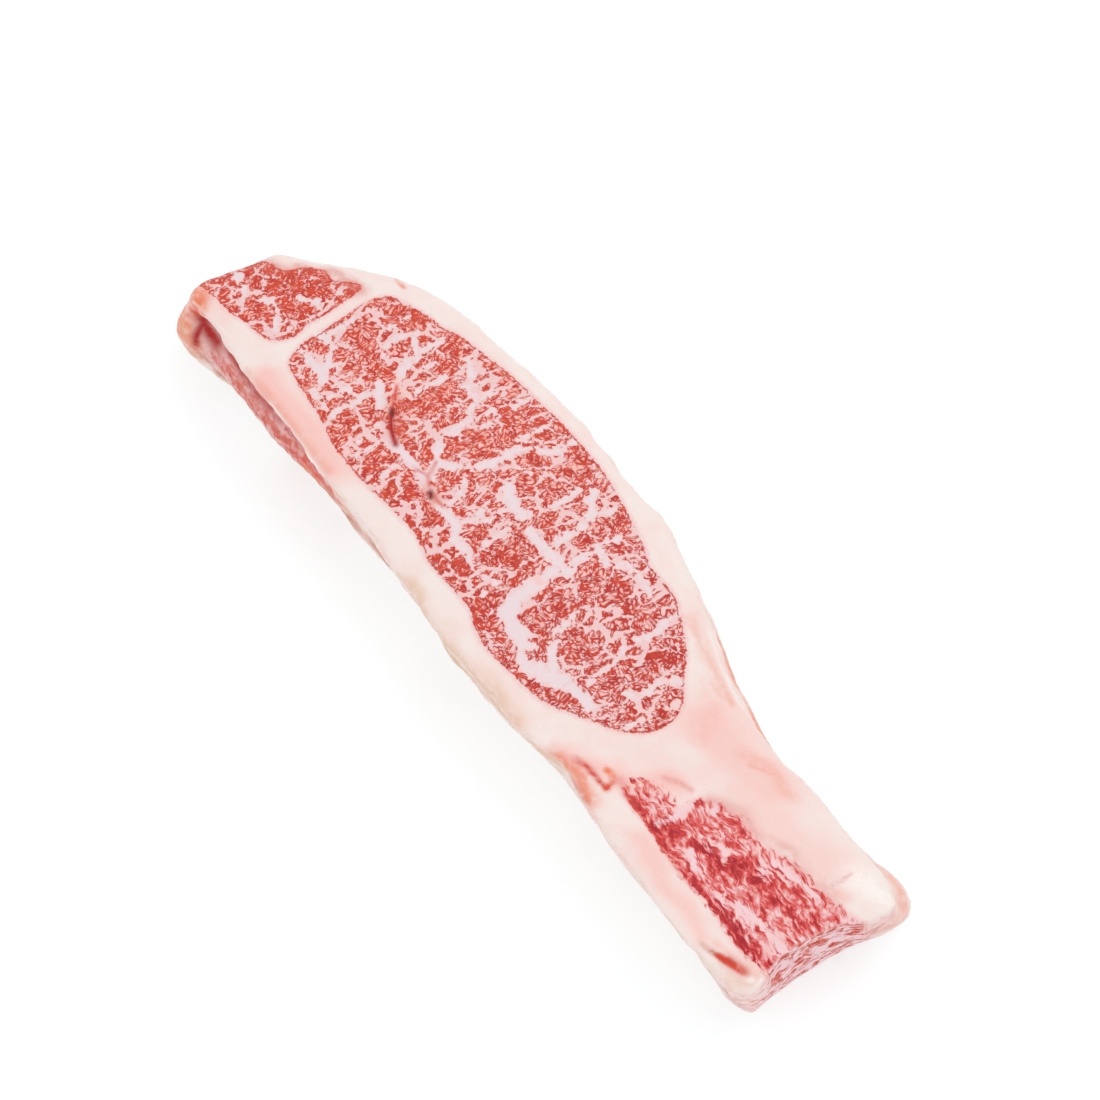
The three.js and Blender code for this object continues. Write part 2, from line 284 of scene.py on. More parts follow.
# Marks and small forms on the surface, among them painted shade in creases and undercuts and painted
# highlights on glossy ridges.
# Each stroke: its paint, its width, how strong it is, how far it sinks the surface (below 0 it lifts it)
# and its path.
strokes = [
    # head: an orange fat lobe, the deep red hollow behind it and the glossy ridge above, its highlight
    # painted in pale cream
    ("orange", 8, 1, 0, (-127.5, -35, 14), (-129, -31.5, 16), (-125, -30, 22), (-120, -32.8, 24.6)),
    ("orange", 11, 0.9, 0, (-126, -36, 15), (-122.5, -36, 15), (-121.5, -34.6, 21)),
    ("rust", 1.6, 0.5, 0.1, (-128.4, -33.6, 12), (-128, -32, 17), (-124.4, -32, 22), (-120, -33, 23.4)),
    ("rust", 1.4, 0.4, 0.1, (-125.6, -36, 11), (-125, -35.2, 16), (-122.6, -34, 20.6)),
    ("orange", 7, 0.8, 0, (-124.4, -37.6, 11), (-119, -36.4, 11.5)),
    ("tan", 7, 1, 0, (-130.5, -34, 8), (-126, -37.5, 5), (-119, -37, 4)),
    ("blood", 5.6, 1, 0.2, (-119.6, -32.2, 19), (-119.2, -32, 17), (-117, -32.2, 15.6),
     (-113.6, -32.4, 15)),
    ("blood", 3, 1, 0.3, (-119.2, -33.2, 16.5), (-119.4, -35.2, 13.4), (-118.6, -35.8, 11.6)),
    ("blood", 4, 0.7, 0.2, (-116, -32, 17), (-112, -32, 18), (-106, -32, 18.8)),
    ("rust", 5, 0.9, 0.2, (-120.6, -33.4, 22), (-117, -31.4, 21), (-113.5, -31, 19)),
    ("cream", 0.9, 0.7, -0.1, (-122, -33.4, 25), (-118, -32.9, 25.3), (-113.5, -32.3, 25.5)),
    ("cream", 0.7, 0.5, -0.1, (-111, -31.9, 25.6), (-105, -31.2, 26)),
    ("flush", 7, 0.5, 0, (-122, -30, 25), (-112, -29.5, 25.8)),
    # head's side: a rolled strip of lean under a dark red groove, orange below, painted shade in the
    # undercut below the roll and low on the side, and a painted highlight along the rim
    ("stringy", 9, 1, 0, (-112.6, -34, 12), (-106, -34.5, 13), (-94, -33.8, 14.5),
     (-82, -33.4, 15), (-71, -32.4, 15)),
    ("stringy", 6, 0.9, 0, (-71, -32.4, 15), (-62, -32, 15.5), (-54, -31.6, 16)),
    ("blood", 3.4, 0.9, 0.2, (-116, -32, 18), (-110, -32, 18.6), (-104, -32, 18.8), (-98, -32.4, 17.6)),
    ("blood", 3, 0.8, 0.2, (-98, -32.4, 17.6), (-92, -32.6, 17.4), (-86, -32.4, 17.6),
     (-78, -32.4, 18)),
    ("blood", 2.4, 0.8, 0.2, (-78, -32.6, 19), (-72, -32, 17.6), (-66, -32, 17.4), (-58, -31.8, 17.6)),
    ("haze", 8, 0.62, 0, (-113, -34.4, 12), (-106, -34.5, 13), (-94, -33.8, 14.5), (-82, -33.4, 15)),
    ("haze", 7, 0.6, 0, (-82, -33.4, 15), (-71, -32.4, 15), (-60, -31.8, 16)),
    ("rust", 4, 0.8, 0, (-114, -31.5, 19.5), (-104, -31.6, 20), (-94, -32.6, 21), (-82, -33.2, 22.4)),
    # painted shade in the undercut below the roll
    ("dusk", 5, 0.9, 0.3, (-117, -36, 8), (-113, -34.6, 5.5), (-108, -33, 4.5)),
    ("orange", 5, 0.9, 0, (-97, -34.4, 11), (-84, -34, 11), (-73, -32.6, 11.5)),
    ("orange", 8, 1, 0, (-72, -31.6, 11), (-62, -31, 11.5), (-52, -30.8, 13)),
    ("rust", 3, 0.8, 0, (-66, -31.6, 14), (-57, -31.4, 14.6), (-48, -31.2, 15.6)),
    # a painted highlight along the near rim
    ("cream", 1.3, 1, -0.25, (-80, -33.2, 24.6), (-70, -33.2, 24.8), (-60, -33.4, 24.6),
     (-52, -33, 24)),
    ("orange", 4, 0.6, 0, (-80, -33, 22.6), (-66, -33, 22), (-54, -32.6, 21.4), (-44, -32, 20.6)),
    ("flush", 9, 1, 0, (-88, -30.4, 26), (-78, -30.4, 26), (-66, -30, 26), (-52, -29.6, 26)),
    ("orange", 3.2, 0.36, 0, (-92, -33, 26), (-80, -32.6, 26), (-66, -32.4, 26), (-52, -32, 26)),
    # painted shade low on the near side
    ("dusk", 6, 0.9, 0, (-54, -31.5, 12), (-46, -31, 12.5), (-38, -30.4, 12.5), (-26, -30, 13)),
    ("dusk", 8, 0.85, 0, (-74, -31, 4), (-60, -31, 6), (-46, -30, 8)),
    # middle of the near side: tan and cream, with a small tag, patches and a crease of painted shade, and
    # painted highlights near the rim
    ("orange", 4, 0.6, 0, (-48, -31.4, 17), (-38, -30.6, 15), (-28, -30.6, 17)),
    ("tan", 9, 0.7, 0, (-30, -29.4, 12), (-14, -29.6, 13), (0, -30.4, 13)),
    ("tan", 8, 1, 0, (0, -30.4, 15), (14, -31, 15), (28, -30, 15.5), (42, -28.4, 16), (52, -27.4, 18)),
    ("dusk", 4, 0.6, 0.2, (0, -31, 8), (6, -31, 8), (12, -30, 9)),
    ("cream", 1.2, 0.9, -0.3, (2, -33.6, 23), (7, -33.8, 22), (12, -33.2, 20)),
    ("dusk", 1.2, 0.6, 0.3, (20, -31.6, 19), (32, -30.8, 19.6), (46, -28.6, 20)),
    ("cream", 3, 0.6, -0.1, (34, -31, 23.4), (42, -30.2, 23.4), (49, -29, 24)),
    ("tan", 6, 0.6, 0, (-10, -32.6, 24), (8, -33.2, 24.4), (26, -32.4, 24.4), (40, -31.4, 24.4)),
    # the waist: an orange smear over the rim, a red tear and its hook
    ("orange", 5, 0.75, 0, (51, -28.6, 22), (56, -28.2, 24.6), (62, -28, 25.4), (68, -28.6, 25.2)),
    ("rust", 2, 0.6, 0.1, (60, -29, 23), (64, -29, 24.4), (68.6, -29.2, 24.6)),
    ("haze", 2.2, 0.6, 0.15, (57, -25.6, 25.5), (61, -24, 25.6), (64.5, -23.8, 25.5),
     (68.4, -23.6, 25.5)),
    ("rust", 1.2, 0.9, 0.1, (60, -24.2, 25.6), (64, -23.9, 25.5), (68.2, -23.4, 25.5),
     (67.5, -21.4, 25.4)),
    ("orange", 2, 1, 0.05, (68.2, -23.4, 25.5), (67.5, -21.4, 25.4), (65.6, -20, 25.3),
     (64, -20.5, 25.3)),
    ("flush", 6, 1, 0, (56, -26, 25.5), (62, -22.5, 25.4), (68, -19, 25.4)),
    ("flush", 8, 1, 0, (66, -20, 25.4), (71, -15.5, 25.5), (77, -9, 25.8)),
    ("haze", 1.8, 0.35, 0, (74, -10, 25.8), (77.4, -7.6, 26), (80.5, -6.4, 26)),
    ("flush", 10, 0.25, 0, (60, -14, 25.6), (74, -4, 26), (80, 4, 26)),
    # far edge: stains, and a glossy strip, a painted highlight, over an orange flap
    ("orange", 1.6, 0.7, 0.1, (-97.6, 18.2, 25.4), (-95.4, 17.6, 26), (-93, 17.6, 26.4)),
    ("orange", 2.6, 0.35, 0.1, (44, 20.6, 26), (52, 19.2, 26), (59, 17.8, 26.2), (66, 16.4, 26.4)),
    ("orange", 5, 0.3, 0, (40, 22, 26), (50, 20, 26), (62, 16, 26.2)),
    ("cream", 1.3, 0.6, -0.15, (45, 24.4, 25), (52, 22, 25), (60, 19.6, 25), (68, 18, 24.6)),
    ("orange", 4, 0.9, 0, (34, 31, 13), (42, 30.3, 11), (50, 28.4, 10.6), (58, 27, 10),
     (66, 25, 10), (76, 22, 9)),
    ("haze", 1.2, 0.6, 0.2, (42, 27.6, 17), (50, 25.4, 17), (58, 23.2, 16.6), (66, 21.4, 16)),
    ("flush", 20, 0.8, 0, (66, 8, 26.4), (78, 8, 26.4), (90, 10, 26.3)),
    ("orange", 5, 0.26, 0, (80, 10, 26.4), (88, 13, 26.4), (96, 14, 26.3)),
    ("orange", 6, 0.12, 0, (56, 15, 26.4), (64, 10, 26.4), (72, 3, 26.4)),
    ("orange", 1.6, 0.4, 0.15, (83, 9.5, 26.4), (88, 12.6, 26.4)),
    ("flush", 12, 0.6, 0, (88, 3, 26), (98, 5, 26), (108, 8, 25.8), (114, 9, 25.4)),
    # tail: a thin pink crease and ring, pink fat along the near side, and a thin line of painted shade in
    # a crease there
    ("haze", 1, 0.35, 0.15, (120.4, 5.6, 24.4), (120.6, 9.4, 24.5), (120.4, 13.4, 24.5)),
    ("flush", 3.4, 0.7, 0, (122.6, 7.6, 24), (124.6, 9, 23.8)),
    ("rust", 0.8, 0.6, 0, (72, -20.8, 25.6), (84, -21, 26), (98, -21.9, 26), (112, -21.2, 25.2),
     (126, -20.2, 22)),
    ("flush", 7, 0.8, 0, (84, -24.6, 26), (90, -25.4, 26), (90, -26, 26), (104, -26, 26),
     (114, -25, 25)),
    ("flush", 7, 0.4, 0, (72, -29, 20), (90, -29, 20), (106, -28, 19)),
    ("dusk", 0.9, 0.45, 0.3, (70, -29, 22.6), (84, -29.6, 22.4), (98, -29.4, 22.2), (110, -28.8, 21.6)),
    ("tan", 4, 0.5, 0, (96, -28.6, 17), (106, -28, 16.6), (114, -27.6, 16)),
    # tail's far corner: a glossy white lobe of pale fat with a painted highlight, and a pink flap of skin
    # below a crease
    ("cream", 8, 0.6, -0.2, (122, 14.5, 24), (128, 14.5, 23.6), (131, 17, 22)),
    ("cream", 2, 0.5, -0.2, (130.4, 13, 22.4), (132, 17, 21.8), (131, 19.6, 21)),
    ("haze", 1.4, 0.6, 0.3, (118, 21, 21.6), (124.6, 21.8, 20), (129, 22.4, 18), (132.4, 19.3, 17.4)),
    ("haze", 1.4, 0.5, 0.3, (132.4, 19.3, 17.4), (132, 14.6, 17), (131, 10, 18), (130, 6.4, 20.6)),
    ("orange", 5, 0.5, 0, (118, 25, 12), (125, 26.6, 10), (130, 24, 10), (131.6, 18, 9),
     (131.2, 12, 9)),
    ("flush", 5, 0.6, 0, (131.6, 16, 13), (131, 11, 14)),
    # tail's near corner: a fold darkened with painted shade, yellowish lumps and pale folds below, with
    # painted shade in their creases
    ("flush", 5, 0.8, 0, (117, -24.6, 23.6), (123, -22.6, 21.6), (127, -21.4, 20.4)),
    ("dusk", 1.6, 1, 0.3, (112, -28.2, 23), (117, -27, 22.9), (121, -24.8, 21.8), (122.8, -23.9, 21.4)),
    ("haze", 3, 0.8, 0.2, (121.4, -24.6, 21.8), (125.8, -22.6, 20.8)),
    ("rust", 1.6, 1, 0.2, (119.6, -25.6, 22.2), (122.2, -24.2, 21.6), (124.6, -23.1, 21)),
    ("dusk", 1, 0.4, 0.4, (116.6, -28.6, 20), (120, -28.4, 18), (124, -28.2, 14)),
    ("flush", 1.4, 0.6, 0.4, (119, -27.8, 20.6), (122.6, -26.4, 20), (125.6, -24.4, 19.8)),
    ("cream", 1.6, 0.7, -0.5, (122.6, -25.2, 20.6), (126.4, -23.6, 20), (128.6, -21.8, 20)),
    ("cream", 1.4, 0.5, -0.4, (118, -28.2, 20.6), (121, -28.2, 18.6), (123.6, -28, 16)),
    ("tan", 5, 0.35, -0.3, (120.5, -27, 20), (125.4, -25.6, 19.4), (128.4, -22.8, 19.4)),
    ("cream", 1, 0.9, -0.5, (121.4, -27.2, 20.8), (125, -27.2, 18.6), (129.4, -26.6, 15.6)),
    ("dusk", 1, 0.7, 0.6, (123, -27.8, 17.6), (127, -27.6, 14.8), (129.6, -26, 13.2)),
    ("cream", 1, 0.8, -0.4, (129.6, -20, 20.2), (130, -22.6, 18.6), (129.8, -25.6, 17)),
    ("flush", 5, 0.7, 0, (131, -24, 13), (131.4, -20, 11), (131, -20, 6)),
    # the tail's cut end: its pale rim and stringy lean
    ("stringy", 24, 1, 0, (130.6, -13.4, 9), (130, -4, 9), (130.4, 5, 9)),
    ("cream", 1.2, 0.6, -0.3, (130, -18, 19.7), (127.9, -11.8, 21.4), (126.9, -6.6, 22.6),
     (126.8, 0, 22.9)),
    # vessels in the eye muscle
    ("pit", 1.7, 1, 0.15, (-59, -7.2, 26.7), (-57.8, -8, 26.7)),
    ("rust", 1.2, 0.8, 0.2, (-65.2, -1.8, 26.7), (-61.5, -5, 26.7), (-58, -7.9, 26.7)),
    ("haze", 4, 0.45, 0, (-62, -5, 26.7), (-58, -8, 26.7), (-50, -12, 26.7)),
    ("haze", 4, 0.45, 0, (-32, -13, 26.8), (-27, -13.4, 26.8)),
    ("blood", 1.7, 1, 0.1, (-58, -7.9, 26.7), (-55.6, -9.8, 26.6), (-52.6, -11.2, 26.6),
     (-48.6, -12.5, 26.6)),
    ("pit", 1.8, 1, 0.15, (-30.3, -13.1, 26.8), (-29, -13.8, 26.8)),
    ("flush", 4.5, 0.8, 0, (-66, -1, 26.7), (-58, -7.5, 26.7), (-52, -11, 26.6)),
    ("flush", 4, 0.7, 0, (-32, -12.4, 26.8), (-27, -13.8, 26.8)),
    ("rust", 1.2, 0.6, 0.1, (-39.5, -12.4, 26.7), (-35.6, -10.6, 26.8), (-37.8, -6.6, 26.8)),
    ("rust", 1.2, 0.6, 0.1, (-35.6, -10.6, 26.8), (-30, -12.9, 26.8), (-24.4, -12.6, 26.8)),
    ("flush", 2.4, 0.8, 0, (8.2, -4.8, 26.7), (9.6, -4.2, 26.7)),
    # where the lean is most solid, and where it is blurred
    ("solid", 7, 0.8, 0, (-46, -23.6, 26.6), (-38, -22.6, 26.6), (-28, -20.6, 26.6),
     (-14, -20.8, 26.6)),
    ("solid", 6, 0.7, 0, (-14, -20.8, 26.6), (2, -20.6, 26.6), (12, -23.4, 26.4)),
    ("solid", 6, 1, 0, (40, 1.5, 26.4), (44, 8.7, 26.3), (48.5, 14.5, 26)),
    ("solid", 4, 0.7, 0, (-12, -11, 26.8), (-4, -9, 26.8), (3, -6, 26.8)),
    ("solid", 3, 0.8, 0, (20, 13, 26.8), (29, 9, 26.6), (39, 4, 26.5)),
    ("solid", 2.4, 0.8, 0, (75, -19.6, 25.6), (92, -20.4, 26), (108, -20, 25.6)),
    ("solid", 4, 1, 0, (108, -19.6, 25.6), (117, -18.8, 24.6), (127, -17.4, 22.4)),
    ("solid", 5, 0.8, 0, (84, -18, 26), (95, -14, 26), (104, -11, 25.8)),
    ("solid", 5, 0.8, 0, (106, -7, 25.8), (116, -6, 25), (125, -3, 23.2)),
    ("solid", 4, 0.8, 0, (-108, -1, 26.6), (-103, -4, 26.6)),
    ("solid", 14, 0.5, 0, (-124, -21, 26), (-113, -13, 26), (-102, -3, 26)),
    ("haze", 5, 0.4, 0, (-127, -28, 22), (-127, -18, 23), (-124, -11, 24.4), (-116, -7, 25.6)),
    ("haze", 5, 0.4, 0, (-116, -4, 26), (-110, 3, 26.4), (-104, 5.5, 26.5), (-99, 7, 26.5)),
    ("haze", 4, 0.3, 0, (84, -4, 26), (96, 0, 26), (110, 4, 25.4), (124, 6, 24)),
    ("haze", 3, 0.35, 0, (68, -19.5, 25.5), (76, -20, 25.8)),
]


def copyOfSteak():
    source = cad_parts["steak"]
    bm = bmesh.new()
    bm.from_mesh(source.data)
    bmesh.ops.remove_doubles(bm, verts=bm.verts, dist=1e-6)
    bmesh.ops.join_triangles(
        bm, faces=bm.faces, cmp_seam=False, cmp_sharp=False, cmp_uvs=False, cmp_vcols=False,
        cmp_materials=False, angle_face_threshold=radians(50), angle_shape_threshold=radians(50))
    mesh = bpy.data.meshes.new("steakCage")
    bm.to_mesh(mesh)
    bm.free()
    cage = bpy.data.objects.new("steakCage", mesh)
    bpy.context.collection.objects.link(cage)
    smooth = cage.modifiers.new("round", "SUBSURF")
    smooth.levels = smooth.render_levels = 1
    smooth.boundary_smooth = "ALL"
    rounded = bpy.data.meshes.new_from_object(cage.evaluated_get(bpy.context.evaluated_depsgraph_get()))
    bpy.data.objects.remove(cage)
    return rounded


# Finer above the foot, and finer still from side to side on the upper cut face
def finerWhereSeen(mesh):
    bm = bmesh.new()
    bm.from_mesh(mesh)
    footHeight, cutFace = 0.6 * mm, 15 * mm
    edges = [e for e in bm.edges if max(v.co.z for v in e.verts) > footHeight]
    bmesh.ops.subdivide_edges(bm, edges=edges, cuts=1, use_grid_fill=True, smooth=0.0)
    across = []
    for edge in bm.edges:
        isUp = all(f.normal.z > 0.9 for f in edge.link_faces)
        if isUp and min(v.co.z for v in edge.verts) > cutFace:
            run = edge.verts[1].co - edge.verts[0].co
            if abs(run.y) > abs(run.x):
                across.append(edge)
    bmesh.ops.subdivide_edges(bm, edges=across, cuts=1, use_grid_fill=True, smooth=0.0)
    many = [f for f in bm.faces if len(f.verts) > 4]
    bmesh.ops.triangulate(bm, faces=many)
    bm.to_mesh(mesh)
    bm.free()
    return mesh


form = {
    "thickness": 26.0,  # mm, over which the knife's lean adds up
    "broadStroke": 3.5,  # mm; wider ones have wandering edges and an uneven width
    "wander": (0.14, 2.2),  # how often per mm, reach in mm
    "swelling": (0.09, 0.55),
    "lumps": (0.12, 0.4),  # mm on the knife's cut, and how much more on the sides
    "grain": (0.03, 0.08),
    "flatFoot": 2.5,  # mm above the table, over which the lumps die out
}


def strokeShare(places, halfWidth, path):
    away = distanceToLine(places, smoothLine(path, False, gap=1.5)) / halfWidth
    return np.clip(1.25 - 0.75 * away, 0, 1) ** 1.5


def noiseAt(places, often):
    return np.array([noise.noise(Vector(p) * often) for p in places])


def setAttribute(mesh, name, values):
    attribute = mesh.attributes.new(name, "FLOAT", "POINT")
    attribute.data.foreach_set("value", values.astype(np.float32))


def markMuscles(mesh, places):
    # the plan place that each point had on the upper face before the knife's lean moved it
    plan = places[:, :2].copy()
    moved = np.interp(plan[:, 0], leanOfKnife["along"], leanOfKnife["moved"])
    plan[:, 1] -= moved * (1 - np.clip(places[:, 2] / form["thickness"], 0, 1))

    muscleEdge = np.full(len(places), -50.0)
    for outline in muscles.values():
        line = smoothLine(outline, True)
        away = distanceToLine(plan, line)
        muscleEdge = np.maximum(muscleEdge, np.where(insideLoop(plan, line), away, -away))
    seamEdge = np.full(len(places), 50.0)
    for width, *path in fatSeams:
        seamEdge = np.minimum(seamEdge, distanceToLine(plan, smoothLine(path, False)) - width / 2)
    for width, *path in leanFlecks:
        seamEdge = np.maximum(seamEdge, width / 2 - distanceToLine(plan, smoothLine(path, False)))
    setAttribute(mesh, "muscleEdge", np.clip(muscleEdge, -12, 12))
    setAttribute(mesh, "seamEdge", np.clip(seamEdge, -6, 6))


def paintStrokes(mesh, places):
    often, reach = form["wander"]
    drift = [noiseAt(places + shift, often) for shift in (0, 40, 80)]
    wandered = places + reach * np.stack(drift, axis=1)
    often, reach = form["swelling"]
    swelling = 1 + reach * noiseAt(places, often)
    paints = {stroke[0]: np.zeros(len(places)) for stroke in strokes}
    sink = np.zeros(len(places))
    for paint, width, amount, depth, *path in strokes:
        if width > form["broadStroke"] and paint != "blood":
            share = strokeShare(wandered, 0.5 * width * swelling, path)
        else:
            share = strokeShare(places, 0.5 * width, path)
        paints[paint] = np.maximum(paints[paint], amount * share)
        sink += depth * share
    for name, values in paints.items():
        setAttribute(mesh, name, values)
    return sink


# Soft lumps on the sides, much less on the knife's cut
def makeUneven(mesh, places, normals, sink):
    onSide = np.clip(1.4 - 1.6 * np.abs(normals[:, 2]), 0, 1)
    resting = np.clip(places[:, 2] / form["flatFoot"], 0, 1)
    lumps = noiseAt(places, 0.17) + 0.5 * noiseAt(places, 0.45)
    grain = noiseAt(places, 1.1)
    onCut, more = form["lumps"]
    rise = (onCut + more * onSide) * lumps
    onCut, more = form["grain"]
    rise += (onCut + more * onSide) * grain - sink
    places += normals * (rise * resting)[:, None]
    mesh.vertices.foreach_set("co", (places * mm).ravel())
    mesh.update()


def paintAndSculpt(mesh):
    flat = np.zeros(len(mesh.vertices) * 3)
    mesh.vertices.foreach_get("co", flat)
    places = flat.reshape(-1, 3) / mm
    mesh.vertices.foreach_get("normal", flat)
    normals = flat.reshape(-1, 3).copy()
    markMuscles(mesh, places)
    sink = paintStrokes(mesh, places)
    setAttribute(mesh, "side", np.clip(1.6 - 2 * np.abs(normals[:, 2]), 0, 1))
    makeUneven(mesh, places, normals, sink)


# The meat's material
meat = {
    "colours": {
        "leanBright": (198, 64, 42),
        "leanDeep": (170, 36, 30),
        "leanTail": (208, 66, 62),
        "flameDeep": (158, 22, 36),
        "veinFat": (222, 189, 192),
        "islandFat": (224, 205, 208),
        "dropWarm": (238, 160, 146),
        "dropFat": (232, 178, 174),
        "tailFat": (230, 196, 201),
        "outerFat": (231, 217, 212),
        # the strokes' paints
        "flush": (234, 188, 181),
        "tan": (216, 176, 146),
        "orange": (224, 124, 92),
        # painted shade
        "dusk": (192, 118, 94),
        "rust": (206, 62, 40),
        # pale cream, also used to paint highlights
        "cream": (240, 232, 227),
        "haze": (202, 86, 68),
        "blood": (164, 14, 8),
        "pit": (118, 10, 12),
    },
    # what a metre becomes: fibres run through the slice, and layers run along its sides
    "scales": {"even": (1000, 1000, 1000), "fibre": (1000, 1000, 330), "layers": (420, 420, 1000)},
    "tailStart": (63, 68),  # x in mm, where bundles give way to flames
    "bend": (0.16, 4.0),  # how often per mm, reach in mm
    "curl": (0.55, 0.0, 1.3),  # how often per mm, detail, reach in mm
    "bundleSize": 4.1,  # mm across; bundles are longer from edge to edge of the slice
    "bundleGap": (-0.05, 0.75),  # half width of the fat between them, mm
    "lobeSize": 1.55,
    "lobeGap": (0.2, -0.22),  # from places poor in lean to rich ones, mm
    "dropSize": 0.96,
    "strand": (0.12, 0.37),  # half width of the lean round a drop, from poor places to rich ones
    "leanPlaces": (0.6, 0.3, 0.7),  # how often per mm, and the noise's range from poor to rich
    "soft": 0.16,  # blur of the lean's edges, mm
    "crinkle": (1.1, 0.35, 0.8),  # how often per mm, ragged reach in mm, share of the lobes' scallops
    "flame": (0.3, 0.85, 0.5),  # the tail's flames are long in x
    "flameShare": (0.36, 0.6),
    "shine": 0.35,
    "glow": {"Weight": 0.1, "Radius": (1.0, 0.45, 0.35), "Scale": 0.001},
    "bump": (0.5, 0.25 * mm),  # strength, depth
}


def tint(name):
    return (*[(c / 255) ** 2.2 for c in meat["colours"][name]], 1.0)


def addNode(tree, kind, inputs, **settings):
    made = tree.nodes.new(kind)
    for key, value in settings.items():
        setattr(made, key, value)
    for key, value in inputs.items():
        if isinstance(value, bpy.types.NodeSocket):
            tree.links.new(value, made.inputs[key])
        else:
            made.inputs[key].default_value = value
    return made


def calc(tree, operation, *values):
    return addNode(tree, "ShaderNodeMath", dict(enumerate(values)), operation=operation).outputs[0]


def times(tree, *values):
    product = values[0]
    for value in values[1:]:
        product = calc(tree, "MULTIPLY", product, value)
    return product


def plus(tree, *values):
    total = values[0]
    for value in values[1:]:
        total = calc(tree, "ADD", total, value)
    return total


def lowest(tree, *values):
    low = values[0]
    for value in values[1:]:
        low = calc(tree, "MINIMUM", low, value)
    return low


def fade(tree, value, low, high, toLow=0.0, toHigh=1.0, kind="SMOOTHSTEP"):
    inputs = {"Value": value, "From Min": low, "From Max": high, "To Min": toLow, "To Max": toHigh}
    return addNode(tree, "ShaderNodeMapRange", inputs, interpolation_type=kind).outputs["Result"]


def blendColour(tree, share, under, over):
    inputs = {0: share, 6: under, 7: over}
    return addNode(tree, "ShaderNodeMix", inputs, data_type="RGBA").outputs[2]


def cloud(tree, place, scale, detail=1.0, roughness=0.5):
    inputs = {"Vector": place, "Scale": scale, "Detail": detail, "Roughness": roughness}
    return addNode(tree, "ShaderNodeTexNoise", inputs).outputs


def cells(tree, place, size, feature):
    inputs = {"Vector": place, "Scale": 1 / size}
    return addNode(tree, "ShaderNodeTexVoronoi", inputs, voronoi_dimensions="2D", feature=feature).outputs


def fromCellEdge(tree, place, size):
    return times(tree, cells(tree, place, size, "DISTANCE_TO_EDGE")["Distance"], size)


def stretched(tree, place, scale):
    return addNode(tree, "ShaderNodeMapping", {"Vector": place, "Scale": scale}).outputs[0]


def pushed(tree, place, by, reach):
    inputs = {0: by, 1: (reach, reach, reach), 2: place}
    return addNode(tree, "ShaderNodeVectorMath", inputs, operation="MULTIPLY_ADD").outputs[0]


def readAttribute(tree, name):
    return addNode(tree, "ShaderNodeAttribute", {}, attribute_name=name).outputs["Fac"]


def placesInMeat(tree):
    objectPlace = addNode(tree, "ShaderNodeTexCoord", {}).outputs["Object"]
    at = {name: stretched(tree, objectPlace, scale) for name, scale in meat["scales"].items()}
    at["x"] = addNode(tree, "ShaderNodeSeparateXYZ", {"Vector": at["even"]}).outputs["X"]
    at["inTail"] = fade(tree, at["x"], *meat["tailStart"])
    at["onSide"] = readAttribute(tree, "side")
    often, reach = meat["bend"]
    at["bent"] = pushed(tree, at["fibre"], cloud(tree, at["fibre"], often)["Color"], reach)
    often, detail, reach = meat["curl"]
    at["curled"] = pushed(tree, at["bent"], cloud(tree, at["bent"], often, detail)["Color"], reach)
    return at


# Bundles of lean, each with its lobes and drops of fat lying at its own angle
def cellEdges(tree, curled):
    bundlePlace = stretched(tree, curled, (1, 0.68, 1))
    bundleEdge = fromCellEdge(tree, bundlePlace, meat["bundleSize"])
    bundleColour = cells(tree, bundlePlace, meat["bundleSize"], "F1")["Color"]
    which = addNode(tree, "ShaderNodeSeparateXYZ", {"Vector": bundleColour}).outputs["X"]
    angle = fade(tree, which, 0.0, 1.0, 0.15 * pi, 0.85 * pi, "LINEAR")
    turning = {"Vector": curled, "Angle": angle}
    turned = addNode(tree, "ShaderNodeVectorRotate", turning, rotation_type="Z_AXIS").outputs[0]
    lobeEdge = fromCellEdge(tree, stretched(tree, turned, (0.62, 1, 0.7)), meat["lobeSize"])
    dropEdge = fromCellEdge(tree, stretched(tree, turned, (0.55, 1, 0.7)), meat["dropSize"])
    return bundleEdge, lobeEdge, dropEdge


# How far inside the lean each place is: scalloped by the lobes and ragged by noise
def leanEdges(tree, at, bundleEdge, lobeEdge):
    often, raggedReach, scallopShare = meat["crinkle"]
    ragged = fade(tree, cloud(tree, at["fibre"], often, 1.5)["Fac"], 0.25, 0.75, -1.0, 1.0, "LINEAR")
    scallop = times(tree, calc(tree, "SUBTRACT", lobeEdge, 0.15), scallopShare)
    unevenness = plus(tree, times(tree, ragged, raggedReach), scallop)
    wander = fade(tree, cloud(tree, at["fibre"], 0.4)["Fac"], 0.3, 0.7, -0.9, 0.7, "LINEAR")
    bundleWidth = fade(tree, cloud(tree, at["bent"], 0.12)["Fac"], 0.35, 0.65, *meat["bundleGap"])
    bundleGap = plus(tree, calc(tree, "SUBTRACT", bundleEdge, bundleWidth), unevenness)
    edges = {
        "seam": plus(tree, readAttribute(tree, "seamEdge"), unevenness, wander),
        "muscle": plus(tree, readAttribute(tree, "muscleEdge"), times(tree, ragged, 0.35)),
    }
    edges["inside"] = lowest(tree, edges["muscle"], edges["seam"], bundleGap)
    return edges


